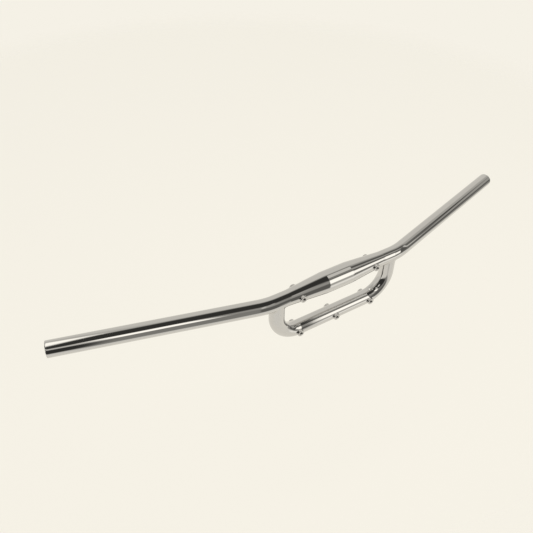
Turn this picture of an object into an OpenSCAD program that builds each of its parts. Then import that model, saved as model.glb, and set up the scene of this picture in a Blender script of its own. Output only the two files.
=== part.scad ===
// Flat handlebar with a U-shaped accessory loop brazed under its middle.
// The origin is on the tube axis at the middle of the clamp zone.
// +X runs along the bar to the rider's left, +Y back towards the rider, +Z up.

/* [Main tube] */
// Width between the middles of the two end faces
bar_width = 770; // [700:1:820]
// Outer diameter where the grips go
grip_d = 22.2; // [21.6:0.1:23.8]
// Outer diameter where the stem clamps
clamp_d = 31.8; // [28:0.1:35]
// Length of the straight clamp zone
clamp_len = 42; // [36:1:60]
// Distance from the middle to where each taper ends
taper_end = 81; // [60:1:82]
// Distance from the middle to where the axes of middle and arm cross
bend_x = 114; // [110:1:130]
// Centreline radius of the two main bends
bend_r = 100; // [60:1:150]
// Angle by which each arm sweeps back
sweep = 15.5; // [5:0.5:25]
// Amount by which bending draws the tube thinner than its arms, on the radius
bend_draw = 0.02; // [0.01:0.01:0.1]
// Wall thickness of the main tube
main_wall = 1.5; // [1:0.1:2.4]

/* [Loop] */
// Outer diameter of the loop's tube
loop_d = 22.2; // [19:0.1:22.2]
// Wall thickness of the loop's tube
loop_wall = 1.5; // [1:0.1:2.4]
// Distance between the axes of the two legs
leg_pitch = 196.4; // [180:0.2:204]
// Distance from the main tube's axis down to the loop's axis
loop_drop = 67; // [56:0.2:90]
// Centreline radius of the loop's two bends
loop_bend_r = 38; // [34:1:44]
// Height kept below the main tube's axis where the mitred legs lose their feather edge
mitre_trim = 1.5; // [1:0.1:3]
// Radius of the brazed fillet between a leg and the main tube
fillet_r = 4; // [2:0.1:5]

/* [Bosses] */
// Distance between neighbouring bosses
boss_pitch = 64; // [50:1:70]
// Diameter of a boss's flange
flange_d = 10.4; // [8.6:0.1:12]
// Height of a boss's face over the side of its tube
boss_stand = 2.8; // [1.6:0.1:4]
// Radius of the flange's rounded rim
rim_r = 0.6; // [0.2:0.1:1]
// Diameter of the barrel that passes through the tube's wall
barrel_d = 7; // [6:0.1:8]
// Length of the barrel from the side of the tube inwards
barrel_len = 7; // [4:0.1:8]
// Radial gap that the brazing fills between a barrel and its hole
braze_gap = 0.05; // [0.02:0.01:0.1]
// Diameter of the hole before its thread, for an M5 bolt
thread_hole_d = 4.2; // [3.2:0.1:5]
// Width of the chamfer at the mouth of the threaded hole
mouth_chamfer = 0.5; // [0.2:0.1:0.8]

/* [Hidden] */
$fn = 96;
// Steps round a circle where a thin edge lies on it
fine_fn = 480;

grip_r = grip_d / 2;
neck_r = grip_r - bend_draw;
clamp_r = clamp_d / 2;
loop_r = loop_d / 2;
flange_r = flange_d / 2;
leg_x = leg_pitch / 2;
// Length of tube that a bend takes from each of the two straights that it joins
bend_take = bend_r * tan(sweep / 2);
bend_start = bend_x - bend_take;
arm_len = (bar_width / 2 - bend_x) / cos(sweep) - bend_take;
// Length by which each arm laps over the end of its bend
arm_lap = 0.5;
// Length by which a cut runs past the face that it opens
past = 2;
chrome = [0.80, 0.79, 0.77];
brazed_chrome = [0.74, 0.73, 0.71];
turned_chrome = [0.68, 0.67, 0.65];

// Sections, arc steps and depth inside the tubes of a fillet's rough form
fillet_sections = 24;
// Angle round the leg, from its middle, at which a fillet has thinned out and ends
fillet_reach = 62;
fillet_steps = 8;
fillet_bite = 0.15;
fillet_root = 1;

// Outer radius of the straight middle of the main tube at a distance from the middle
function bar_r(x) = x < clamp_len / 2 ? clamp_r
    : x < taper_end ? clamp_r + (neck_r - clamp_r) * (x - clamp_len / 2) / (taper_end - clamp_len / 2)
    : neck_r;

// Straight middle of the main tube as a solid, with its radius less a wall
module middle_blank(wall) {
    half_clamp = clamp_len / 2;
    rotate([0, 90, 0]) rotate_extrude() polygon([
        [0, -bend_start], [neck_r - wall, -bend_start],
        [neck_r - wall, -taper_end], [clamp_r - wall, -half_clamp],
        [clamp_r - wall, half_clamp], [neck_r - wall, taper_end],
        [neck_r - wall, bend_start], [0, bend_start]
    ]);
}

// Swept arm beyond the middle, with its radius less a wall and its end run on
module arm_blank(wall, run_on) {
    translate([bend_start, bend_r, 0]) rotate([0, 0, -90]) rotate_extrude(angle = sweep)
        translate([bend_r, 0]) circle(r = neck_r - wall);
    translate([bend_start, bend_r, 0]) rotate([0, 0, sweep]) translate([-arm_lap, -bend_r, 0])
        rotate([0, 90, 0]) cylinder(r = grip_r - wall, h = arm_lap + arm_len + run_on);
}

// Whole main tube as a solid
module bar_blank(wall, run_on) {
    middle_blank(wall);
    arm_blank(wall, run_on);
    mirror([1, 0, 0]) arm_blank(wall, run_on);
}

// Half of the loop as a solid, with its leg ending at a height
module half_loop_blank(wall, leg_top) {
    r = loop_r - wall;
    bend_z = loop_bend_r - loop_drop;
    translate([0, 0, -loop_drop]) rotate([0, 90, 0]) cylinder(r = r, h = leg_x - loop_bend_r);
    translate([leg_x - loop_bend_r, 0, bend_z]) rotate([90, 0, 0]) rotate([0, 0, -90])
        rotate_extrude(angle = 90) translate([loop_bend_r, 0]) circle(r = r);
    translate([leg_x, 0, bend_z]) cylinder(r = r, h = leg_top - bend_z);
}

// Whole loop as a solid
module loop_blank(wall, leg_top) {
    half_loop_blank(wall, leg_top);
    mirror([1, 0, 0]) half_loop_blank(wall, leg_top);
}

// Hole drilled through both walls of a tube for a front and a rear boss
module boss_drilling(x, z, seat_r) {
    reach = seat_r + past;
    translate([x, reach, z]) rotate([90, 0, 0]) cylinder(r = barrel_d / 2 + braze_gap, h = 2 * reach);
}

// Main tube: bulged middle, tapers, bends, arms, open ends and boss holes
module main_tube() {
    color(chrome) difference() {
        bar_blank(0, 0);
        bar_blank(main_wall, past);
        for (x = [-boss_pitch, boss_pitch]) boss_drilling(x, 0, bar_r(boss_pitch));
    }
}

// Loop tube: bent bar with two legs mitred to the underside of the main tube
module loop_tube() {
    color(chrome) difference() {
        loop_blank(0, -mitre_trim);
        loop_blank(loop_wall, past);
        bar_blank(0, 0);
        for (x = [-boss_pitch, 0, boss_pitch]) boss_drilling(x, -loop_drop, loop_r);
    }
}

// Point carried with the main tube round its bend, by a share from 0 to 1
function round_bend(p, share) =
    let (turn = max(0, p.x - bend_start) / bend_r * 180 / PI)
    let (kept = min(p.x, bend_start))
    let (bent = [kept + (bend_r - p.y) * sin(turn), bend_r - (bend_r - p.y) * cos(turn), p.z])
    p + share * (bent - p);

// Middle of the ball that rolls round the corner between leg and main tube
function ball(turn) =
    let (y = (loop_r + fillet_r) * sin(turn))
    [(loop_r + fillet_r) * cos(turn), y, -sqrt(max(0, pow(neck_r + fillet_r, 2) - y * y))];

// Direction from the ball to the fillet's skin, from the leg's side to the main tube's
function to_skin(turn, share) =
    let (to_leg = [cos(turn), sin(turn), 0])
    let (c = ball(turn))
    let (to_bar = [0, c.y, c.z] / norm([0, c.y, c.z]))
    let (between = acos(min(1, to_leg * to_bar)))
    between < 0.01 ? to_leg
    : (sin((1 - share) * between) * to_leg + sin(share * between) * to_bar) / sin(between);

// One cross-section of the rough fillet: a point inside both tubes, then the hollow skin
function fillet_section(side, turn) =
    let (c = ball(turn))
    let (inner = loop_r - fillet_root)
    let (root = [inner * cos(turn), inner * sin(turn),
        -sqrt(max(0, pow(neck_r - fillet_root, 2) - pow(inner * sin(turn), 2)))])
    [for (p = concat([[root, 0.5]], [for (i = [0:fillet_steps])
        let (share = i / fillet_steps) [c - (fillet_r + fillet_bite) * to_skin(turn, share), share]]))
        round_bend([leg_x + side * p[0].x, p[0].y, p[0].z], p[1])];

// Rough fillet on one side of a leg, which the tubes then cut to its seat
module fillet_side(side) {
    widest = min(fillet_reach, asin(min(1, (neck_r + fillet_r) / (loop_r + fillet_r))));
    count = fillet_steps + 2;
    points = [for (i = [0:fillet_sections])
        each fillet_section(side, side * widest * (2 * i / fillet_sections - 1))];
    last = fillet_sections * count;
    polyhedron(points, concat(
        [for (j = [1:count - 2]) [0, j + 1, j]],
        [for (i = [0:fillet_sections - 1], j = [0:count - 1])
            let (a = i * count + j, b = i * count + (j + 1) % count) [a, b, a + count]],
        [for (i = [0:fillet_sections - 1], j = [0:count - 1])
            let (a = i * count + j, b = i * count + (j + 1) % count) [b, b + count, a + count]],
        [for (j = [1:count - 2]) [last, last + j, last + j + 1]]
    ), convexity = 4);
}

// Brazed fillet round the top of the left leg
module left_braze_fillet() {
    color(brazed_chrome) difference() {
        union() {
            fillet_side(1);
            fillet_side(-1);
        }
        bar_blank(0, 0, $fn = fine_fn);
        half_loop_blank(0, 0, $fn = fine_fn);
    }
}

// Brazed fillet round the top of the right leg
module right_braze_fillet() {
    mirror([1, 0, 0]) left_braze_fillet();
}

// Flange of a boss with a rounded rim, standing on Z, its underside still uncut
module boss_flange(seat_r) {
    face = seat_r + boss_stand;
    rotate_extrude() {
        square([flange_r - rim_r, face]);
        square([flange_r, face - rim_r]);
        translate([flange_r - rim_r, face - rim_r]) circle(r = rim_r);
    }
}

// Threaded boss standing on Z; the first child is the solid tube that it sits on
module boss(seat_r) {
    face = seat_r + boss_stand;
    hole_r = thread_hole_d / 2;
    color(turned_chrome) difference() {
        union() {
            difference() {
                boss_flange(seat_r);
                children();
            }
            translate([0, 0, seat_r - barrel_len]) cylinder(r = barrel_d / 2, h = barrel_len + boss_stand / 2);
        }
        cylinder(r = hole_r, h = face + past);
        translate([0, 0, face - mouth_chamfer]) cylinder(r1 = hole_r, r2 = hole_r + mouth_chamfer, h = mouth_chamfer);
    }
}

// Boss on the main tube; facing is -1 for the front and 1 for the rear
module main_boss(x, facing) {
    translate([x, 0, 0]) rotate([-90 * facing, 0, 0]) boss(bar_r(boss_pitch))
        translate([-x, 0, 0]) middle_blank(0);
}

// Boss on the loop's bar; facing is -1 for the front and 1 for the rear
module loop_boss(x, facing) {
    translate([x, 0, -loop_drop]) rotate([-90 * facing, 0, 0]) boss(loop_r)
        rotate([90 * facing, 0, 0]) translate([-x, 0, loop_drop]) loop_blank(0, -mitre_trim);
}

main_tube();
loop_tube();
left_braze_fillet();
right_braze_fillet();
main_boss(boss_pitch, -1);  // main_boss_front_left
main_boss(-boss_pitch, -1);  // main_boss_front_right
main_boss(boss_pitch, 1);  // main_boss_rear_left
main_boss(-boss_pitch, 1);  // main_boss_rear_right
loop_boss(boss_pitch, -1);  // loop_boss_front_left
loop_boss(0, -1);  // loop_boss_front_middle
loop_boss(-boss_pitch, -1);  // loop_boss_front_right
loop_boss(boss_pitch, 1);  // loop_boss_rear_left
loop_boss(0, 1);  // loop_boss_rear_middle
loop_boss(-boss_pitch, 1);  // loop_boss_rear_right
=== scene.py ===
"""Flat handlebar with an accessory loop: the dressed model, its finishes and its studio."""

import logging
import math
from dataclasses import dataclass, field, replace
from enum import Enum

import bmesh
import bpy
from mathutils import Matrix, Vector


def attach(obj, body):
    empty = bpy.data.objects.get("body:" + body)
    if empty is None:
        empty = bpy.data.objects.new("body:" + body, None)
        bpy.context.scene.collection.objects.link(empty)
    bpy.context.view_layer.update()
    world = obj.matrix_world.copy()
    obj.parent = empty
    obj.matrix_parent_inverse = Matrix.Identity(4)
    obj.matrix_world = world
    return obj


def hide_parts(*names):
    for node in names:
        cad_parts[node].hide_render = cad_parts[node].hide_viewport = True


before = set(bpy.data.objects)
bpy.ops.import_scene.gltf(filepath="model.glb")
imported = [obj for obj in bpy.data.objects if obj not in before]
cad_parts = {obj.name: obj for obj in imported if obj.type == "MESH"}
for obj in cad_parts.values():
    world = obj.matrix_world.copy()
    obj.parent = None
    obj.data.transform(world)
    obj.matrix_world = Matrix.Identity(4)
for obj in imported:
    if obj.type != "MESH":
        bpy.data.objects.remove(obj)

# Short names of the types that are used most
Mesh = bmesh.types.BMesh
Ring = list[bmesh.types.BMVert]
Edges = list[bmesh.types.BMEdge]
Tree = bpy.types.NodeTree
Socket = bpy.types.NodeSocket
Piece = bpy.types.Object
Triple = tuple[float, float, float]

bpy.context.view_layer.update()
MM = 0.001
# Vertices in each ring of a tube, and in each drill
RING_STEPS = 128
DRILL_STEPS = 64
# Material index of the inner walls
INSIDE = 1
# Distance within which two vertices are the same
TOUCH = 1e-6
# Angle from which an edge stays sharp, on tubes, bosses and fillets
TUBE_CORNER = math.radians(32)
BOSS_CORNER = math.radians(40)
FILLET_CORNER = math.radians(50)
# Noise that looks the same along every axis
EVEN = (1.0, 1.0, 1.0)

log = logging.getLogger("handlebar")


# Sizes


@dataclass(frozen=True)
class BarSizes:
    """Sizes of the main tube, in metres and radians."""

    width: float = 770 * MM
    grip_r: float = 11.1 * MM
    clamp_r: float = 15.9 * MM
    clamp_len: float = 42 * MM
    taper_end: float = 81 * MM
    bend_x: float = 114 * MM
    bend_r: float = 100 * MM
    sweep: float = math.radians(15.5)
    wall: float = 1.5 * MM
    blend: float = 2.5 * MM
    end_round: float = 0.3 * MM

    @property
    def bend_take(self) -> float:
        """Length of tube that a bend takes from each of its two straights."""
        return self.bend_r * math.tan(self.sweep / 2)

    @property
    def bend_start(self) -> float:
        """Distance from the middle to where a bend begins."""
        return self.bend_x - self.bend_take

    @property
    def bend_len(self) -> float:
        """Length of a bend along the axis."""
        return self.bend_r * self.sweep

    @property
    def arm_len(self) -> float:
        """Length of a straight arm."""
        return (self.width / 2 - self.bend_x) / math.cos(self.sweep) - self.bend_take

    @property
    def half_len(self) -> float:
        """Length along the axis from the middle to an end face."""
        return self.bend_start + self.bend_len + self.arm_len


@dataclass(frozen=True)
class LoopSizes:
    """Sizes of the accessory loop, in metres."""

    tube_r: float = 11.1 * MM
    wall: float = 1.5 * MM
    leg_x: float = 98.2 * MM
    drop: float = 67 * MM
    bend_r: float = 38 * MM
    sink: float = 0.1 * MM
    feather: float = 0.3 * MM


@dataclass(frozen=True)
class BossSizes:
    """Sizes of one threaded boss, in metres.

    The foot and the crest of the thread are half widths, as shares of its pitch.
    """

    pitch: float = 64 * MM
    flange_r: float = 5.2 * MM
    stand: float = 2.8 * MM
    skirt: float = 1.4 * MM
    rim_r: float = 0.6 * MM
    barrel_r: float = 3.5 * MM
    barrel_len: float = 7 * MM
    gap: float = 0.05 * MM
    chamfer: float = 0.5 * MM
    thread_major_r: float = 2.5 * MM
    thread_minor_r: float = 2.1 * MM
    thread_pitch: float = 0.8 * MM
    thread_foot: float = 0.42
    thread_crest: float = 0.07
    thread_root: float = 0.02 * MM


# Shared mesh helpers


def turned(axis: str, angle: float) -> Matrix:
    """Rotation of a ring whose normal starts along +X and is turned about one axis."""
    return Matrix.Rotation(angle, 4, axis) @ Matrix.Rotation(math.pi / 2, 4, "Y")


def ring_place(centre: Vector, turn: Matrix, radius: float) -> Matrix:
    """Placement of a unit ring at a centre, with its rotation and its radius."""
    return Matrix.Translation(centre) @ turn @ Matrix.Scale(radius, 4)


def ring_edges(ring: Ring) -> Edges:
    """Edges that join the vertices of one ring to each other."""
    members = set(ring)
    return list({e for v in ring for e in v.link_edges if e.other_vert(v) in members})


def grow_ring(bm: Mesh, ring: Ring) -> Ring:
    """Extrudes a ring once without moving it, and gives the vertices of the new ring."""
    made = bmesh.ops.extrude_edge_only(bm, edges=ring_edges(ring))["geom"]
    return [v for v in made if isinstance(v, bmesh.types.BMVert)]


def sweep_ring(bm: Mesh, places: list[Matrix], inside: bool) -> Ring:
    """Makes a ring and extrudes it from place to place along a tube.

    Args:
        bm: the mesh being built.
        places: placement of the ring at each station.
        inside: whether this is the inner wall, which faces the axis.

    Returns:
        The last ring.
    """
    before = set(bm.faces)
    ring = bmesh.ops.create_circle(bm, cap_ends=False, segments=RING_STEPS, radius=1.0)["verts"]
    bmesh.ops.transform(bm, matrix=places[0], verts=ring)
    for here, there in zip(places, places[1:]):
        ring = grow_ring(bm, ring)
        bmesh.ops.transform(bm, matrix=there @ here.inverted(), verts=ring)
    if inside:
        wall = list(set(bm.faces) - before)
        bmesh.ops.reverse_faces(bm, faces=wall)
        for face in wall:
            face.material_index = INSIDE
    return ring


def join_rings(bm: Mesh, outer: Ring, inner: Ring) -> None:
    """Closes a tube's end between its outer and its inner ring."""
    bmesh.ops.bridge_loops(bm, edges=ring_edges(outer) + ring_edges(inner))


def mirror_half(bm: Mesh) -> None:
    """Adds the right half of a mesh that was built for +X only."""
    whole = list(bm.verts) + list(bm.edges) + list(bm.faces)
    bmesh.ops.mirror(bm, geom=whole, matrix=Matrix.Identity(4), merge_dist=TOUCH, axis="X")


def finish_mesh(bm: Mesh, name: str) -> Piece:
    """Merges doubles, turns the faces outwards and makes the object.

    Args:
        bm: the mesh being built, which is freed.
        name: name of the piece.

    Returns:
        The new object, linked to the scene and standing at the origin.
    """
    bmesh.ops.remove_doubles(bm, verts=bm.verts, dist=TOUCH)
    bmesh.ops.recalc_face_normals(bm, faces=bm.faces)
    open_edges = sum(1 for edge in bm.edges if len(edge.link_faces) != 2)
    if open_edges:
        log.info("%s is a sheet with %d open edges", name, open_edges)
    else:
        log.info("%s is closed and holds %.0f mm3", name, bm.calc_volume(signed=True) / MM**3)
    mesh = bpy.data.meshes.new(name)
    bm.to_mesh(mesh)
    bm.free()
    piece = bpy.data.objects.new(name, mesh)
    bpy.context.scene.collection.objects.link(piece)
    return piece


def round_edges(bm: Mesh, edges: Edges, offset: float, segments: int) -> None:
    """Rounds edges by an offset, or chamfers them where there is one segment.

    Args:
        bm: the mesh being built.
        edges: the edges to round.
        offset: width taken from each of the two faces.
        segments: faces across the rounding.
    """
    shape = {"profile": 0.5, "affect": "EDGES", "material": -1}
    bmesh.ops.bevel(bm, geom=edges, offset=offset, segments=segments, **shape)


def smooth_shade(piece: Piece, corner: float) -> None:
    """Shades a piece smooth, with sharp edges where it turns by more than the corner angle."""
    piece.data.shade_smooth()
    piece.data.set_sharp_from_angle(angle=corner)


def drill(piece: Piece, holes: list[Matrix], radius: float, reach: float) -> None:
    """Drills round holes through a piece, whose mesh is replaced.

    Args:
        piece: the object to drill.
        holes: placement of each drill, which runs along its own Z.
        radius: radius of the holes.
        reach: full length of each drill.
    """
    bm = bmesh.new()
    for place in holes:
        bmesh.ops.create_cone(
            bm,
            cap_ends=True,
            segments=DRILL_STEPS,
            radius1=radius,
            radius2=radius,
            depth=reach,
            matrix=place,
        )
    cutter = finish_mesh(bm, piece.name + "_drill")
    cut = piece.modifiers.new("drill", "BOOLEAN")
    cut.operation = "DIFFERENCE"
    cut.solver = "EXACT"
    cut.object = cutter
    bpy.context.view_layer.update()
    made = piece.evaluated_get(bpy.context.evaluated_depsgraph_get())
    drilled = bpy.data.meshes.new_from_object(made)
    piece.modifiers.clear()
    piece.data = drilled
    bpy.data.objects.remove(cutter)


# Effects shared by the finishes, as shader node groups


class Effect:
    """A shader node group with named inputs and outputs, built once."""

    def __init__(self, name: str) -> None:
        """Makes an empty group with its entry and its exit."""
        self.tree = bpy.data.node_groups.new(name, "ShaderNodeTree")
        self.entry = self.tree.nodes.new("NodeGroupInput")
        self.exit = self.tree.nodes.new("NodeGroupOutput")

    def takes(self, name: str, value: float | None = None) -> Socket:
        """Adds an input.

        Args:
            name: name of the input.
            value: its default, or None for a vector input.

        Returns:
            The socket inside the group.
        """
        kind = "NodeSocketVector" if value is None else "NodeSocketFloat"
        made = self.tree.interface.new_socket(name, in_out="INPUT", socket_type=kind)
        if value is not None:
            made.default_value = value
        return self.entry.outputs[name]

    def gives(self, name: str, source: Socket) -> None:
        """Adds a value output, fed by a socket."""
        self.tree.interface.new_socket(name, in_out="OUTPUT", socket_type="NodeSocketFloat")
        self.tree.links.new(source, self.exit.inputs[name])

    def node(self, kind: str, **settings: object) -> bpy.types.Node:
        """Adds a node of a kind, with its settings."""
        return add_node(self.tree, kind, **settings)

    def maths(self, operation: str, *values: object) -> Socket:
        """Adds a Math node, with a number or a socket for each input."""
        return add_maths(self.tree, operation, *values)

    def product(self, *values: object) -> Socket:
        """Multiplies two or more values.

        Args:
            values: numbers and sockets.

        Returns:
            Their product.
        """
        made = values[0]
        for value in values[1:]:
            made = self.maths("MULTIPLY", made, value)
        return made

    def ramp(self, value: Socket, low: float, high: float, *ends: float) -> Socket:
        """Adds a smooth step between two values."""
        return add_ramp(self.tree, value, low, high, *ends)

    def link(self, source: Socket, target: Socket) -> None:
        """Joins two sockets."""
        self.tree.links.new(source, target)

    def noise(self, where: Socket, stretch: Triple, scale: object, detail: float) -> Socket:
        """Adds stretched noise.

        Args:
            where: vector socket of the coordinates.
            stretch: factor along each axis.
            scale: a number or a socket for the noise's scale.
            detail: octaves of the noise.

        Returns:
            The noise value, about 0.5 on average.
        """
        turn = self.node("ShaderNodeMapping")
        turn.inputs["Scale"].default_value = stretch
        self.link(where, turn.inputs["Vector"])
        noise = self.node("ShaderNodeTexNoise")
        noise.inputs["Detail"].default_value = detail
        self.link(turn.outputs["Vector"], noise.inputs["Vector"])
        if isinstance(scale, (int, float)):
            noise.inputs["Scale"].default_value = scale
        else:
            self.link(scale, noise.inputs["Scale"])
        return noise.outputs["Fac"]


def add_node(tree: Tree, kind: str, **settings: object) -> bpy.types.Node:
    """Adds a node to a tree.

    Args:
        tree: the node tree.
        kind: Blender's name of the node type.
        settings: attributes to set on it.

    Returns:
        The node.
    """
    node = tree.nodes.new(kind)
    for name, value in settings.items():
        setattr(node, name, value)
    return node


def add_maths(tree: Tree, operation: str, *values: object) -> Socket:
    """Adds a Math node to a tree.

    Args:
        tree: the node tree.
        operation: Blender's name of the operation.
        values: a number or a socket for each input.

    Returns:
        Its output.
    """
    node = add_node(tree, "ShaderNodeMath", operation=operation)
    for socket, value in zip(node.inputs, values):
        if isinstance(value, (int, float)):
            socket.default_value = value
        else:
            tree.links.new(value, socket)
    return node.outputs[0]


def add_ramp(
    tree: Tree, value: Socket, low: float, high: float, start: float = 0, stop: float = 1
) -> Socket:
    """Adds a smooth step.

    Args:
        tree: the node tree.
        value: the socket that is stepped.
        low: value where the step begins.
        high: value where it ends.
        start: output before it.
        stop: output after it.

    Returns:
        The stepped value.
    """
    node = add_node(tree, "ShaderNodeMapRange", interpolation_type="SMOOTHSTEP")
    tree.links.new(value, node.inputs["Value"])
    node.inputs["From Min"].default_value = low
    node.inputs["From Max"].default_value = high
    node.inputs["To Min"].default_value = start
    node.inputs["To Max"].default_value = stop
    return node.outputs["Result"]


class Effects:
    """The effects that the finishes share."""

    def __init__(self) -> None:
        """Builds every effect once."""
        self.buffing = self.make_buffing()
        self.hairlines = self.make_hairlines()
        self.dust = self.make_dust()
        self.waviness = self.make_waviness()
        self.pits = self.make_pits()

    @staticmethod
    def make_buffing() -> Tree:
        """Fine lines left by a buffing wheel, which run round the tube.

        Returns:
            The group, with outputs Height and Mask.
        """
        effect = Effect("Buffing Lines")
        where = effect.takes("Coordinates")
        scale = effect.takes("Scale", 60.0)
        round_tube, patch_scale, least_worked = (40.0, 1.0, 1.0), 22.0, 0.3
        fine = effect.noise(where, round_tube, scale, 3.0)
        patch = effect.noise(where, EVEN, patch_scale, 2.0)
        worked = effect.ramp(patch, 0.35, 0.65, least_worked, 1.0)
        effect.gives("Height", effect.product(worked, fine))
        effect.gives("Mask", worked)
        return effect.tree

    @staticmethod
    def make_hairlines() -> Tree:
        """Sparse hairline scratches from handling.

        Returns:
            The group, with the output Mask.
        """
        effect = Effect("Handling Hairlines")
        where = effect.takes("Coordinates")
        amount = effect.takes("Amount", 0.5)
        hair_scale, hair_width, patch_scale = 30.0, 0.006, 40.0
        thin = []
        for stretch in ((1.0, 7.0, 9.0), (6.0, 1.0, 8.0)):
            value = effect.noise(where, stretch, hair_scale, 2.0)
            middle = effect.maths("ABSOLUTE", effect.maths("SUBTRACT", value, 0.5))
            thin.append(effect.ramp(middle, 0.0, hair_width, 1.0, 0.0))
        handled = effect.ramp(effect.noise(where, EVEN, patch_scale, 1.0), 0.5, 0.7)
        effect.gives("Mask", effect.product(effect.maths("MAXIMUM", *thin), handled, amount))
        return effect.tree

    @staticmethod
    def make_dust() -> Tree:
        """Thin dust that settles on faces which look up.

        Returns:
            The group, with the output Mask.
        """
        effect = Effect("Settled Dust")
        where = effect.takes("Coordinates")
        amount = effect.takes("Amount", 0.1)
        cloud_scale = 55.0
        facing = effect.node("ShaderNodeNewGeometry")
        split = effect.node("ShaderNodeSeparateXYZ")
        effect.link(facing.outputs["Normal"], split.inputs[0])
        upward = effect.ramp(split.outputs["Z"], 0.2, 1.0)
        cloud = effect.ramp(effect.noise(where, EVEN, cloud_scale, 5.0), 0.38, 0.75)
        effect.gives("Mask", effect.product(upward, cloud, amount))
        return effect.tree

    @staticmethod
    def make_waviness() -> Tree:
        """Slow waves that drawing and polishing leave in a tube.

        Returns:
            The group, with the output Height.
        """
        effect = Effect("Drawn Waviness")
        where = effect.takes("Coordinates")
        scale = effect.takes("Scale", 9.0)
        effect.gives("Height", effect.noise(where, EVEN, scale, 1.0))
        return effect.tree

    @staticmethod
    def make_pits() -> Tree:
        """Small pits left in brazing under the plate.

        Returns:
            The group, with outputs Height and Mask.
        """
        effect = Effect("Brazing Pits")
        where = effect.takes("Coordinates")
        amount = effect.takes("Amount", 0.5)
        pit_scale, pit_width, patch_scale = 900.0, 0.22, 260.0
        cells = effect.node("ShaderNodeTexVoronoi")
        effect.link(where, cells.inputs["Vector"])
        cells.inputs["Scale"].default_value = pit_scale
        pit = effect.ramp(cells.outputs["Distance"], 0.0, pit_width, 1.0, 0.0)
        some = effect.ramp(effect.noise(where, EVEN, patch_scale, 2.0), 0.52, 0.66)
        mask = effect.product(pit, some, amount)
        effect.gives("Height", effect.product(mask, -1.0))
        effect.gives("Mask", mask)
        return effect.tree


# Finishes


@dataclass(frozen=True)
class PlateFinish:
    """A chrome plate over steel or brazing, with the marks of its making and use."""

    name: str
    color: Triple
    worn_color: Triple
    roughness: float
    worn_roughness: float
    buffing_scale: float
    buffing_height: float
    wave_scale: float
    wave_height: float
    hairline_amount: float
    dust_amount: float
    pit_amount: float = 0.0
    pit_depth: float = 0.02 * MM
    line_dulling: float = 0.06

    def make(self, effects: Effects) -> bpy.types.Material:
        """Builds the material.

        Args:
            effects: the shared node groups.

        Returns:
            The material.
        """
        material = bpy.data.materials.new(self.name)
        material.use_nodes = True
        material.diffuse_color = (*self.color, 1.0)
        tree = material.node_tree
        shader = tree.nodes["Principled BSDF"]
        shader.inputs["Metallic"].default_value = 1.0
        where = add_node(tree, "ShaderNodeTexCoord").outputs["Object"]

        def placed(group: Tree, **values: float) -> bpy.types.Node:
            """Places a group with its own values."""
            node = add_node(tree, "ShaderNodeGroup", node_tree=group)
            tree.links.new(where, node.inputs["Coordinates"])
            for name, value in values.items():
                node.inputs[name].default_value = value
            return node

        lines = placed(effects.buffing, Scale=self.buffing_scale)
        hairs = placed(effects.hairlines, Amount=self.hairline_amount)
        dust = placed(effects.dust, Amount=self.dust_amount)
        waves = placed(effects.waviness, Scale=self.wave_scale)
        marks = add_maths(tree, "MAXIMUM", hairs.outputs["Mask"], dust.outputs["Mask"])
        relief = add_maths(
            tree,
            "ADD",
            add_maths(tree, "MULTIPLY", waves.outputs["Height"], self.wave_height),
            add_maths(tree, "MULTIPLY", lines.outputs["Height"], self.buffing_height),
        )
        if self.pit_amount:
            pits = placed(effects.pits, Amount=self.pit_amount)
            marks = add_maths(tree, "MAXIMUM", marks, pits.outputs["Mask"])
            sunk = add_maths(tree, "MULTIPLY", pits.outputs["Height"], self.pit_depth)
            relief = add_maths(tree, "ADD", relief, sunk)
        mix = add_node(tree, "ShaderNodeMix", data_type="RGBA")
        tree.links.new(marks, mix.inputs["Factor"])
        mix.inputs["A"].default_value = (*self.color, 1.0)
        mix.inputs["B"].default_value = (*self.worn_color, 1.0)
        tree.links.new(mix.outputs["Result"], shader.inputs["Base Color"])
        rough = add_node(tree, "ShaderNodeMapRange")
        dulled = add_maths(tree, "MULTIPLY", lines.outputs["Mask"], self.line_dulling)
        tree.links.new(add_maths(tree, "ADD", marks, dulled), rough.inputs["Value"])
        rough.inputs["To Min"].default_value = self.roughness
        rough.inputs["To Max"].default_value = self.worn_roughness
        tree.links.new(rough.outputs["Result"], shader.inputs["Roughness"])
        bump = add_node(tree, "ShaderNodeBump")
        bump.inputs["Distance"].default_value = 1.0
        tree.links.new(relief, bump.inputs["Height"])
        tree.links.new(bump.outputs["Normal"], shader.inputs["Normal"])
        return material


CHROME = (0.62, 0.612, 0.605)
CHROME_MARKED = (0.50, 0.49, 0.475)
CAST_CHROME = (0.60, 0.59, 0.58)

BAR_CHROME = PlateFinish(
    name="bar_chrome",
    color=CHROME,
    worn_color=CHROME_MARKED,
    roughness=0.02,
    worn_roughness=0.32,
    buffing_scale=60.0,
    buffing_height=0.0006 * MM,
    wave_scale=14.0,
    wave_height=0.05 * MM,
    hairline_amount=0.35,
    dust_amount=0.10,
)
LOOP_CHROME = replace(
    BAR_CHROME,
    name="loop_chrome",
    roughness=0.03,
    worn_roughness=0.34,
    buffing_scale=75.0,
    buffing_height=0.0008 * MM,
    wave_scale=20.0,
    hairline_amount=0.4,
)
BRAZE_CHROME = PlateFinish(
    name="braze_chrome",
    color=CAST_CHROME,
    worn_color=(0.44, 0.43, 0.415),
    roughness=0.07,
    worn_roughness=0.4,
    buffing_scale=110.0,
    buffing_height=0.001 * MM,
    wave_scale=60.0,
    wave_height=0.04 * MM,
    hairline_amount=0.3,
    dust_amount=0.12,
    pit_amount=0.5,
)
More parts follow.
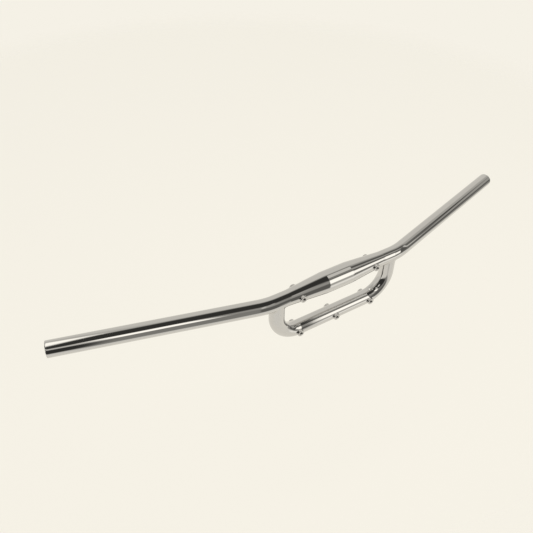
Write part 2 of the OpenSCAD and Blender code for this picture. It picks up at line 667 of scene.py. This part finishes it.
BOSS_CHROME = PlateFinish(
    name="boss_chrome",
    color=CAST_CHROME,
    worn_color=(0.42, 0.41, 0.395),
    roughness=0.08,
    worn_roughness=0.36,
    buffing_scale=120.0,
    buffing_height=0.001 * MM,
    wave_scale=80.0,
    wave_height=0.01 * MM,
    hairline_amount=0.5,
    dust_amount=0.12,
)
BARE_STEEL = PlateFinish(
    name="bare_steel",
    color=(0.22, 0.215, 0.205),
    worn_color=(0.13, 0.11, 0.09),
    roughness=0.45,
    worn_roughness=0.75,
    buffing_scale=90.0,
    buffing_height=0.004 * MM,
    wave_scale=70.0,
    wave_height=0.02 * MM,
    hairline_amount=0.8,
    dust_amount=0.5,
    pit_amount=0.6,
)


class Slot(Enum):
    """The record's material slots."""

    BAR = "bar_chrome"
    LOOP = "loop_chrome"
    BRAZE = "braze_chrome"
    BOSS = "boss_chrome"


@dataclass
class Finishes:
    """Materials of the whole handlebar."""

    effects: Effects = field(default_factory=Effects)

    def __post_init__(self) -> None:
        """Builds each material once."""
        plated = (BAR_CHROME, LOOP_CHROME, BRAZE_CHROME, BOSS_CHROME)
        self.outside = {Slot(finish.name): finish.make(self.effects) for finish in plated}
        self.inside = BARE_STEEL.make(self.effects)

    def dress(self, piece: Piece, slot: Slot, node: str) -> Piece:
        """Gives a piece the materials of its slot and of its inner walls, parents it to its body
        and hides the CAD node that it stands for.

        Args:
            piece: the new piece.
            slot: the record's slot of its finish.
            node: the CAD node that it replaces.

        Returns:
            The piece.
        """
        piece.data.materials.clear()
        piece.data.materials.append(self.outside[slot])
        piece.data.materials.append(self.inside)
        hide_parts(node)
        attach(piece, "root")
        log.info("%s stands for %s with %d faces", piece.name, node, len(piece.data.polygons))
        return piece


# Pieces


@dataclass
class MainTube:
    """The drawn main tube: clamp middle, tapers, two bends, two arms and open ends."""

    sizes: BarSizes = field(default_factory=BarSizes)
    boss: BossSizes = field(default_factory=BossSizes)
    bend_steps: int = 28
    blend_steps: int = 8

    def radius(self, along: float) -> float:
        """Outer radius at a distance along the axis, with the tapers' corners blended.

        Args:
            along: distance from the middle along the axis.

        Returns:
            The radius.
        """
        s = self.sizes
        start, end, soft = s.clamp_len / 2, s.taper_end, s.blend
        slope = (s.grip_r - s.clamp_r) / (end - start)
        if along < start - soft:
            return s.clamp_r
        if along < start + soft:
            return s.clamp_r + slope * (along - start + soft) ** 2 / (4 * soft)
        if along < end - soft:
            return s.clamp_r + slope * (along - start)
        if along < end + soft:
            return s.grip_r + slope * -((end + soft - along) ** 2) / (4 * soft)
        return s.grip_r

    def place(self, along: float, inset: float) -> Matrix:
        """Placement of a ring on the left half of the tube.

        Args:
            along: distance from the middle along the axis.
            inset: how far the ring lies inside the outer surface.

        Returns:
            The ring's placement.
        """
        s = self.sizes
        angle = min(max(0.0, along - s.bend_start) / s.bend_r, s.sweep)
        beyond = max(0.0, along - s.bend_start - s.bend_len)
        centre = Vector(
            (
                min(along, s.bend_start) + s.bend_r * math.sin(angle) + beyond * math.cos(angle),
                s.bend_r * (1 - math.cos(angle)) + beyond * math.sin(angle),
                0.0,
            )
        )
        return ring_place(centre, turned("Z", angle), self.radius(along) - inset)

    def stations(self) -> list[float]:
        """Distances along the axis at which the tube gets a ring."""
        s, b = self.sizes, self.boss
        corners = [s.clamp_len / 2, s.taper_end]
        shares = [2 * i / self.blend_steps - 1 for i in range(self.blend_steps + 1)]
        rounded = [corner + s.blend * share for corner in corners for share in shares]
        bend = [s.bend_start + s.bend_len * i / self.bend_steps for i in range(self.bend_steps + 1)]
        round_boss = [b.pitch - b.flange_r, b.pitch + b.flange_r]
        guards = [s.bend_start - MM, s.half_len - 2 * MM]
        return sorted([0.0, *rounded, *round_boss, *bend, *guards, s.half_len])

    def build(self) -> Piece:
        """Builds the tube.

        Returns:
            The piece.
        """
        s, b = self.sizes, self.boss
        bm = bmesh.new()
        stations = self.stations()
        outer = sweep_ring(bm, [self.place(a, 0.0) for a in stations], inside=False)
        inner = sweep_ring(bm, [self.place(a, s.wall) for a in stations], inside=True)
        join_rings(bm, outer, inner)
        round_edges(bm, ring_edges(outer) + ring_edges(inner), s.end_round, 3)
        mirror_half(bm)
        tube = finish_mesh(bm, "MainTube")
        across = Matrix.Rotation(math.pi / 2, 4, "X")
        holes = [Matrix.Translation((x, 0, 0)) @ across for x in (-b.pitch, b.pitch)]
        drill(tube, holes, b.barrel_r + b.gap, 4 * s.clamp_r)
        smooth_shade(tube, TUBE_CORNER)
        return tube


@dataclass
class LoopTube:
    """The bent loop under the middle, its legs mitred to the main tube."""

    sizes: LoopSizes = field(default_factory=LoopSizes)
    bar: BarSizes = field(default_factory=BarSizes)
    boss: BossSizes = field(default_factory=BossSizes)
    bend_steps: int = 48

    def place(self, along: float, inset: float) -> Matrix:
        """Placement of a ring on the left half of the loop, counted from its middle.

        Args:
            along: distance from the middle along the loop's axis.
            inset: how far the ring lies inside the outer surface.

        Returns:
            The ring's placement.
        """
        s = self.sizes
        straight = s.leg_x - s.bend_r
        angle = min(max(0.0, along - straight) / s.bend_r, math.pi / 2)
        beyond = max(0.0, along - straight - s.bend_r * math.pi / 2)
        centre = Vector(
            (
                min(along, straight) + s.bend_r * math.sin(angle),
                0.0,
                s.bend_r * (1 - math.cos(angle)) - s.drop + beyond,
            )
        )
        return ring_place(centre, turned("Y", -angle), s.tube_r - inset)

    def stations(self) -> list[float]:
        """Distances along the axis at which the loop gets a ring."""
        s, b = self.sizes, self.boss
        straight = s.leg_x - s.bend_r
        arc = s.bend_r * math.pi / 2
        bend = [straight + arc * i / self.bend_steps for i in range(self.bend_steps + 1)]
        guards = [straight - MM, straight + arc + MM, straight + arc + 4 * MM]
        return sorted([0.0, b.flange_r, *bend, *guards])

    def seat(self, ring: Ring) -> None:
        """Moves a leg's top ring to the underside of the main tube.

        Args:
            ring: the leg's last ring.
        """
        s, bar = self.sizes, self.bar
        for vert in ring:
            past = max(0.0, vert.co.x - bar.bend_start)
            bent = bar.bend_r - math.sqrt(bar.bend_r**2 - past**2)
            side = vert.co.y - bent
            height = math.sqrt(max(0.0, bar.grip_r**2 - side**2))
            vert.co.z = min(-s.feather, s.sink - height)

    def build(self) -> Piece:
        """Builds the loop.

        Returns:
            The piece.
        """
        s, b = self.sizes, self.boss
        bm = bmesh.new()
        stations = self.stations()
        outer = sweep_ring(bm, [self.place(a, 0.0) for a in stations], inside=False)
        inner = sweep_ring(bm, [self.place(a, s.wall) for a in stations], inside=True)
        self.seat(outer)
        self.seat(inner)
        join_rings(bm, outer, inner)
        mirror_half(bm)
        loop = finish_mesh(bm, "LoopTube")
        across = Matrix.Rotation(math.pi / 2, 4, "X")
        holes = [Matrix.Translation((x, 0, -s.drop)) @ across for x in (-b.pitch, 0.0, b.pitch)]
        drill(loop, holes, b.barrel_r + b.gap, 4 * s.tube_r)
        smooth_shade(loop, TUBE_CORNER)
        return loop


@dataclass
class BrazeFillet:
    """The filed brazing round the top of one leg, swept by a ball that rolls in the corner."""

    side: int
    name: str
    radius: float = 4 * MM
    root: float = 1 * MM
    reach: float = math.radians(87)
    sections: int = 72
    skin_steps: int = 12
    loop: LoopSizes = field(default_factory=LoopSizes)
    bar: BarSizes = field(default_factory=BarSizes)

    def follow_bend(self, point: Vector, share: float) -> Vector:
        """Carries a point with the main tube round its bend.

        Args:
            point: the point as if the main tube were straight.
            share: how much of the bend it follows, from 0 to 1.

        Returns:
            The carried point.
        """
        bar = self.bar
        turn = max(0.0, point.x - bar.bend_start) / bar.bend_r
        kept = min(point.x, bar.bend_start)
        arm = bar.bend_r - point.y
        bent = Vector((kept + arm * math.sin(turn), bar.bend_r - arm * math.cos(turn), point.z))
        return point.lerp(bent, share)

    def section(self, turn: float, outward: int) -> list[Vector]:
        """Outline of the fillet at one angle round the leg.

        Args:
            turn: angle round the leg, from the middle of this side.
            outward: -1 on the side of the bar's middle, 1 on the side away from it.

        Returns:
            A point inside both tubes, then the hollow skin from the leg to the main tube.
        """
        leg_r, bar_r, ball_r = self.loop.tube_r, self.bar.grip_r, self.radius
        across = (leg_r + ball_r) * math.sin(turn)
        ball = Vector(
            (
                (leg_r + ball_r) * math.cos(turn),
                across,
                -math.sqrt(max(0.0, (bar_r + ball_r) ** 2 - across**2)),
            )
        )
        to_leg = Vector((math.cos(turn), math.sin(turn), 0.0))
        to_bar = Vector((0.0, ball.y, ball.z)).normalized()
        deep = leg_r - self.root
        side = deep * math.sin(turn)
        corner = Vector(
            (deep * math.cos(turn), side, -math.sqrt(max(0.0, (bar_r - self.root) ** 2 - side**2)))
        )
        outline = [(corner, 0.5)]
        for i in range(self.skin_steps + 1):
            share = i / self.skin_steps
            outline.append((ball - ball_r * to_leg.slerp(to_bar, share), share))
        points = []
        for point, share in outline:
            placed = Vector((self.loop.leg_x + outward * point.x, point.y, point.z))
            carried = self.follow_bend(placed, share)
            points.append(Vector((self.side * carried.x, carried.y, carried.z)))
        return points

    def build(self) -> Piece:
        """Builds the fillet on both sides of the leg.

        Returns:
            The piece.
        """
        bm = bmesh.new()
        for outward in (1, -1):
            turns = [self.reach * (2 * i / self.sections - 1) for i in range(self.sections + 1)]
            outlines = [self.section(turn, outward) for turn in turns]
            sides = len(outlines[0])
            ring = bmesh.ops.create_circle(bm, cap_ends=True, segments=sides, radius=MM)["verts"]
            for vert, point in zip(ring, outlines[0]):
                vert.co = point
            for outline in outlines[1:]:
                order = {v: i for i, v in enumerate(ring)}
                spots = {}
                for vert in grow_ring(bm, ring):
                    beside = (edge.other_vert(vert) for edge in vert.link_edges)
                    spots[vert] = next(order[other] for other in beside if other in order)
                    vert.co = outline[spots[vert]]
                ring = sorted(spots, key=spots.get)
            bmesh.ops.contextual_create(bm, geom=ring_edges(ring))
        piece = finish_mesh(bm, self.name)
        smooth_shade(piece, FILLET_CORNER)
        return piece


class Facing(Enum):
    """The side of a tube that a boss stands on."""

    FRONT = -1
    REAR = 1


@dataclass
class Boss:
    """A threaded boss: flange, barrel, chamfered mouth and its thread."""

    name: str
    node: str
    x: float
    z: float
    seat_r: float
    facing: Facing
    sizes: BossSizes = field(default_factory=BossSizes)
    round_steps: int = 64
    turn_steps: int = 20

    def place(self) -> Matrix:
        """Placement of the boss, which is built standing on Z."""
        turn = Matrix.Rotation(-self.facing.value * math.pi / 2, 4, "X")
        return Matrix.Translation((self.x, 0, self.z)) @ turn

    def ring_at(self, bm: Mesh, radius: float, height: float) -> Edges:
        """Edges of the circle at a radius and a height.

        Args:
            bm: the mesh being built.
            radius: radius of the circle.
            height: height of the circle.

        Returns:
            The circle's edges.
        """
        on = {
            v
            for v in bm.verts
            if abs(math.hypot(v.co.x, v.co.y) - radius) < TOUCH and abs(v.co.z - height) < TOUCH
        }
        return [e for e in bm.edges if e.verts[0] in on and e.verts[1] in on]

    def add_body(self, bm: Mesh) -> None:
        """Spins the flange and the barrel and rounds their edges.

        Args:
            bm: the mesh being built.
        """
        s = self.sizes
        face = self.seat_r + s.stand
        under = self.seat_r - s.skirt
        foot = self.seat_r - s.barrel_len
        outline = [
            (s.thread_major_r, foot),
            (s.thread_major_r, face),
            (s.flange_r, face),
            (s.flange_r, under),
            (s.barrel_r, under),
            (s.barrel_r, foot),
        ]
        verts = [bm.verts.new((r, 0.0, z)) for r, z in outline]
        edges = [bm.edges.new(pair) for pair in zip(verts, verts[1:] + verts[:1])]
        bmesh.ops.spin(
            bm,
            geom=verts + edges,
            cent=(0, 0, 0),
            axis=(0, 0, 1),
            angle=2 * math.pi,
            steps=self.round_steps,
            use_merge=True,
        )
        round_edges(bm, self.ring_at(bm, s.flange_r, face), s.rim_r, 6)
        round_edges(bm, self.ring_at(bm, s.thread_major_r, face), s.chamfer, 1)

    def add_thread(self, bm: Mesh) -> None:
        """Winds the thread's ridge inside the hole, with its ends clear of both mouths.

        Args:
            bm: the mesh being built.
        """
        s = self.sizes
        low = self.seat_r - s.barrel_len + s.thread_pitch / 2
        high = self.seat_r + s.stand - s.chamfer - s.thread_pitch / 4
        foot_r = s.thread_major_r + s.thread_root
        foot_half, crest_half = s.thread_foot * s.thread_pitch, s.thread_crest * s.thread_pitch
        outline = [
            (foot_r, -foot_half),
            (s.thread_minor_r, -crest_half),
            (s.thread_minor_r, crest_half),
            (foot_r, foot_half),
        ]
        verts = [bm.verts.new((r, 0.0, low + z)) for r, z in outline]
        ridge = bm.faces.new(verts)
        turns = (high - low) / s.thread_pitch
        steps = int(turns * self.turn_steps)
        bmesh.ops.spin(
            bm,
            geom=verts + list(ridge.edges) + [ridge],
            cent=(0, 0, 0),
            axis=(0, 0, 1),
            dvec=(0, 0, s.thread_pitch / self.turn_steps),
            angle=2 * math.pi * steps / self.turn_steps,
            steps=steps,
            use_merge=False,
        )

    def build(self) -> Piece:
        """Builds the boss.

        Returns:
            The piece.
        """
        bm = bmesh.new()
        self.add_body(bm)
        self.add_thread(bm)
        bmesh.ops.transform(bm, matrix=self.place(), verts=bm.verts)
        piece = finish_mesh(bm, self.name)
        smooth_shade(piece, BOSS_CORNER)
        return piece


@dataclass
class Handlebar:
    """The whole handlebar."""

    finishes: Finishes
    loop: LoopSizes = field(default_factory=LoopSizes)
    boss: BossSizes = field(default_factory=BossSizes)

    def bosses(self) -> list[Boss]:
        """The ten bosses, four on the main tube and six on the loop."""
        pitch = self.boss.pitch
        main_r = MainTube().radius(pitch)
        made = []
        for facing, word in ((Facing.FRONT, "front"), (Facing.REAR, "rear")):
            for x, side in ((pitch, "left"), (-pitch, "right")):
                title = f"MainBoss{word.title()}{side.title()}"
                made.append(Boss(title, f"main_boss_{word}_{side}", x, 0.0, main_r, facing))
            for x, side in ((pitch, "left"), (0.0, "middle"), (-pitch, "right")):
                title = f"LoopBoss{word.title()}{side.title()}"
                node = f"loop_boss_{word}_{side}"
                made.append(Boss(title, node, x, -self.loop.drop, self.loop.tube_r, facing))
        return made

    def build(self) -> None:
        """Builds and dresses every piece."""
        self.finishes.dress(MainTube().build(), Slot.BAR, "main_tube")
        self.finishes.dress(LoopTube().build(), Slot.LOOP, "loop_tube")
        for side, word in ((1, "left"), (-1, "right")):
            fillet = BrazeFillet(side, f"BrazeFillet{word.title()}")
            self.finishes.dress(fillet.build(), Slot.BRAZE, f"{word}_braze_fillet")
        for boss in self.bosses():
            self.finishes.dress(boss.build(), Slot.BOSS, boss.node)


# Studio


@dataclass(frozen=True)
class Card:
    """A soft-edged patch of the studio, in degrees as the handlebar sees it.

    The turn goes about the middle of the bar: 0 ahead of it, 90 overhead, 180 behind it and -90
    below it. The other angle goes along the bar, towards the rider's left. A card with a lean is
    slanted. Each card lies over the ones before it.
    """

    light: float
    turn: tuple[float, float]
    along: tuple[float, float] = (-90.0, 90.0)
    soft_turn: float = 7.0
    soft_along: float = 3.0
    lean: float = 0.0


@dataclass
class Studio:
    """Pale floor, pale background, and the soft cards round the object."""

    paper: Triple = (0.913, 0.879, 0.791)
    floor_z: float = -0.35
    floor_r: float = 1.5
    floor_at: tuple[float, float] = (0.35, 0.95)
    floor_glow: float = 0.895
    floor_matte: Triple = (0.145, 0.14, 0.126)
    floor_fade: tuple[float, float] = (0.75, 0.98)
    lamp_size: tuple[float, float] = (1.4, 1.0)
    lamp_at: Triple = (0.1, -0.1, 1.3)
    lamp_watts: float = 9.0
    lamp_color: Triple = (1.0, 0.985, 0.955)
    glow: Triple = (1.0, 0.970, 0.888)
    room: float = 0.045
    cards: tuple[Card, ...] = (
        Card(0.90, (-95, -27), soft_turn=12),
        Card(0.88, (-60, -12), (27, 62)),
        Card(0.88, (204, 280), soft_turn=12),
        Card(0.80, (104, 215), soft_turn=11),
        Card(0.62, (104, 150), (-30, 7), soft_turn=14, soft_along=4),
        Card(0.55, (80, 112), (36, 66), soft_turn=9),
        Card(0.15, (-28, 44), (-32, 26), soft_turn=9, soft_along=1),
        Card(0.42, (16, 42), (-6, 26)),
        Card(0.29, (-38, 22), (-19, -2), soft_turn=9, soft_along=2),
        Card(0.80, (25, 38), (1, 8), soft_turn=5, soft_along=1.5, lean=1.1),
        Card(0.55, (32, 44), (8, 19), soft_turn=5, soft_along=2, lean=1.1),
        Card(1.65, (20, 43), (-18, -6.5), soft_turn=4, soft_along=1.8),
        Card(0.04, (-24, 26), (-80, -20), soft_along=1.5),
        Card(0.75, (34, 52), (-34, -18), soft_turn=6, soft_along=2, lean=-1.4),
        Card(1.05, (22, 40), (-46, -34)),
        Card(0.20, (-14, 96), (26.5, 44), soft_turn=6, soft_along=0.8),
        Card(0.20, (-12, 76), (42, 66), soft_turn=5, lean=-2.2),
        Card(0.55, (-14, 8), (26.5, 36), soft_turn=4, soft_along=1),
        Card(0.30, (-8, 6), (36, 46), soft_turn=3, soft_along=2),
        Card(0.12, (44, 90), (34, 46), soft_turn=3, soft_along=2),
        Card(0.48, (56, 73), (34, 46), soft_turn=2, soft_along=2),
        Card(0.80, (67, 97), (26.5, 34), soft_turn=4, soft_along=1),
        Card(0.30, (53, 65), (26.5, 34), soft_turn=2, soft_along=1),
        Card(0.13, (4, 60), (47, 60), soft_along=2),
        Card(0.75, (42, 56), (49, 63), soft_turn=4, soft_along=1.5, lean=-3.4),
        Card(1.65, (7, 42), (26.5, 38), soft_turn=4, soft_along=1),
        Card(1.60, (10, 37), (38, 47), soft_turn=4, soft_along=1),
        Card(1.15, (-35, -14), (26, 48), soft_turn=5),
        Card(1.60, (89, 113), (-17, 1), soft_turn=5, soft_along=2, lean=2.1),
        Card(0.46, (14, 108), (63, 90), soft_turn=9, soft_along=2),
        Card(0.13, (-22, 16), (63, 90), soft_turn=6, soft_along=2),
        Card(0.32, (-100, -20), (62, 90), soft_turn=6, soft_along=2),
    )

    def card_mask(self, effect: Effect, turn_at: Socket, along_at: Socket, card: Card) -> Socket:
        """Mask of one card.

        Args:
            effect: the group being built.
            turn_at: socket of the direction about the bar, in degrees.
            along_at: socket of the direction along the bar, in degrees.
            card: the card.

        Returns:
            A socket that is 1 inside the card and 0 outside it.
        """
        if card.lean:
            beyond = effect.maths("SUBTRACT", along_at, sum(card.along) / 2)
            turn_at = effect.maths("SUBTRACT", turn_at, effect.product(beyond, card.lean))
        parts = []
        for at, (low, high), soft in (
            (turn_at, card.turn, card.soft_turn),
            (along_at, card.along, card.soft_along),
        ):
            parts.append(effect.ramp(at, low - soft, low + soft))
            parts.append(effect.ramp(at, high - soft, high + soft, 1.0, 0.0))
        return effect.product(*parts)

    def panorama(self) -> Tree:
        """Node group that turns a direction into the light of the cards.

        Returns:
            The group, with the output Light.
        """
        effect = Effect("Studio Cards")
        direction = effect.takes("Direction")
        split = effect.node("ShaderNodeSeparateXYZ")
        effect.link(direction, split.inputs[0])
        x, y, z = split.outputs
        from_top = effect.maths("ARCTAN2", effect.product(y, -1.0), z)
        turn_at = effect.maths("SUBTRACT", 90.0, effect.maths("DEGREES", from_top))
        along_at = effect.maths("DEGREES", effect.maths("ARCSINE", x))
        light = self.room
        for card in self.cards:
            mask = self.card_mask(effect, turn_at, along_at, card)
            kept = effect.product(light, effect.maths("SUBTRACT", 1.0, mask))
            light = effect.maths("ADD", kept, effect.product(mask, card.light))
        effect.gives("Light", light)
        return effect.tree

    def make_world(self) -> None:
        """Builds the world: paper to the camera, cards to the lit and mirroring surfaces."""
        world = bpy.data.worlds.new("studio")
        bpy.context.scene.world = world
        world.use_nodes = True
        tree = world.node_tree
        tree.nodes.clear()
        direction = add_node(tree, "ShaderNodeTexCoord").outputs["Generated"]
        cards = add_node(tree, "ShaderNodeGroup", node_tree=self.panorama())
        tree.links.new(direction, cards.inputs["Direction"])
        seen = add_node(tree, "ShaderNodeBackground")
        seen.inputs["Color"].default_value = (*self.paper, 1.0)
        lit = add_node(tree, "ShaderNodeBackground")
        lit.inputs["Color"].default_value = (*self.glow, 1.0)
        tree.links.new(cards.outputs["Light"], lit.inputs["Strength"])
        ray = add_node(tree, "ShaderNodeLightPath")
        mix = add_node(tree, "ShaderNodeMixShader")
        tree.links.new(ray.outputs["Is Camera Ray"], mix.inputs["Fac"])
        tree.links.new(lit.outputs[0], mix.inputs[1])
        tree.links.new(seen.outputs[0], mix.inputs[2])
        out = add_node(tree, "ShaderNodeOutputWorld")
        tree.links.new(mix.outputs[0], out.inputs["Surface"])

    def floor_material(self) -> bpy.types.Material:
        """Pale paper that fades out at its edge and can't be seen from below.

        Returns:
            The material.
        """
        material = bpy.data.materials.new("floor_paper")
        material.use_nodes = True
        tree = material.node_tree
        tree.nodes.clear()
        glow = add_node(tree, "ShaderNodeEmission")
        glow.inputs["Color"].default_value = (*self.paper, 1.0)
        glow.inputs["Strength"].default_value = self.floor_glow
        paper = add_node(tree, "ShaderNodeBsdfDiffuse")
        paper.inputs["Color"].default_value = (*self.floor_matte, 1.0)
        both = add_node(tree, "ShaderNodeAddShader")
        tree.links.new(glow.outputs[0], both.inputs[0])
        tree.links.new(paper.outputs[0], both.inputs[1])
        where = add_node(tree, "ShaderNodeTexCoord").outputs["Object"]
        centred = add_node(tree, "ShaderNodeVectorMath", operation="SUBTRACT")
        centred.inputs[1].default_value = (*self.floor_at, self.floor_z)
        tree.links.new(where, centred.inputs[0])
        gap = add_node(tree, "ShaderNodeVectorMath", operation="LENGTH")
        tree.links.new(centred.outputs[0], gap.inputs[0])
        low, high = (share * self.floor_r for share in self.floor_fade)
        edge = add_ramp(tree, gap.outputs["Value"], low, high)
        back = add_node(tree, "ShaderNodeNewGeometry").outputs["Backfacing"]
        gone = add_maths(tree, "MAXIMUM", edge, back)
        clear = add_node(tree, "ShaderNodeBsdfTransparent")
        mix = add_node(tree, "ShaderNodeMixShader")
        tree.links.new(gone, mix.inputs["Fac"])
        tree.links.new(both.outputs[0], mix.inputs[1])
        tree.links.new(clear.outputs[0], mix.inputs[2])
        out = add_node(tree, "ShaderNodeOutputMaterial")
        tree.links.new(mix.outputs[0], out.inputs["Surface"])
        return material

    def make_floor(self) -> None:
        """Lays the round paper floor below the object."""
        bm = bmesh.new()
        place = Matrix.Translation((*self.floor_at, self.floor_z))
        bmesh.ops.create_circle(bm, cap_ends=True, segments=96, radius=self.floor_r, matrix=place)
        floor = finish_mesh(bm, "PaperFloor")
        if floor.data.polygons[0].normal.z < 0:
            floor.data.flip_normals()
        floor.data.materials.append(self.floor_material())

    def make_lamp(self) -> None:
        """Hangs one wide soft lamp that lights the floor and keeps out of reflections."""
        lamp = bpy.data.lights.new("overhead", "AREA")
        lamp.shape = "RECTANGLE"
        lamp.size, lamp.size_y = self.lamp_size
        lamp.energy = self.lamp_watts
        lamp.color = self.lamp_color
        hung = bpy.data.objects.new("overhead", lamp)
        hung.location = self.lamp_at
        hung.visible_glossy = False
        bpy.context.scene.collection.objects.link(hung)

    def build(self) -> None:
        """Builds the studio."""
        self.make_world()
        self.make_floor()
        self.make_lamp()
        log.info("studio with %d cards, floor at %.3f m", len(self.cards), self.floor_z)


@dataclass
class PhotoCamera:
    """The camera at the photograph's viewpoint."""

    at: Triple = (-0.41419, -0.46886, 0.53492)
    right: Triple = (0.849137, -0.527999, 0.013546)
    down: Triple = (-0.330384, -0.550989, -0.766327)
    lens: float = 39.122
    half_pixel: float = 0.5 / 533

    def build(self) -> None:
        """Sets up the camera and the view transform."""
        data = bpy.data.cameras.new("photo_camera")
        data.lens = self.lens
        data.sensor_width = 36.0
        data.shift_x = -self.half_pixel
        data.shift_y = self.half_pixel
        data.clip_start, data.clip_end = 0.02, 20.0
        camera = bpy.data.objects.new("photo_camera", data)
        right, up = Vector(self.right).normalized(), -Vector(self.down).normalized()
        back = right.cross(up)
        turn = Matrix((right, up, back)).transposed().to_4x4()
        camera.matrix_world = Matrix.Translation(self.at) @ turn
        bpy.context.scene.collection.objects.link(camera)
        bpy.context.scene.camera = camera
        bpy.context.scene.view_settings.view_transform = "Standard"
        log.info("camera at %s with a %.1f mm lens", self.at, self.lens)


def main() -> None:
    """Builds the handlebar, the studio and the camera."""
    logging.basicConfig(level=logging.INFO, format="%(name)s: %(message)s")
    PhotoCamera().build()
    Handlebar(Finishes()).build()
    Studio().build()


if __name__ == "__main__":
    main()
